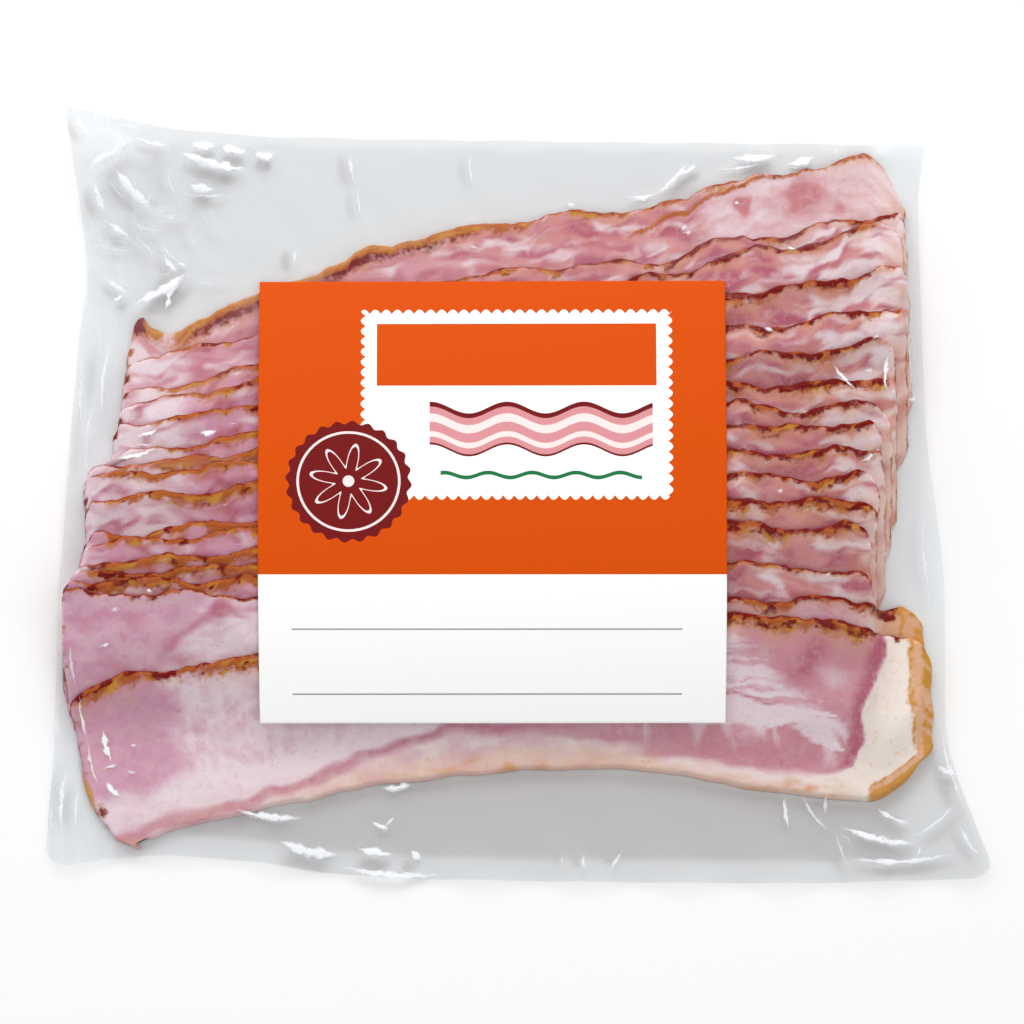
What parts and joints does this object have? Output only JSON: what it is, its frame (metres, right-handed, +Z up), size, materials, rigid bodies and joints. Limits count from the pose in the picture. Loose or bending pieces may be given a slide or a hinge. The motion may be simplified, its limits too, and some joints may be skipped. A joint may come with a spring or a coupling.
{
  "type": "bacon pack",
  "caption": "Flat clear sealed pouch of overlapping bacon rashers, lying label side up, with a plain printed paper label on the film and one lifted corner.",
  "frame": {"origin": "centre of the pouch's outline seen from above, on the surface it lies on", "axes": "+X along the rashers to the right, +Y away from the viewer towards the lifted corner, +Z up out of the label"},
  "size_m": [0.256, 0.219, 0.0177],
  "materials": {
    "film_pack": "clear glossy film over pink sliced meat",
    "label_paper": "smooth coated paper, orange over white"
  },
  "bodies": {
    "root": {"bag": "film_pack", "label": "label_paper"}
  },
  "joints": []
}
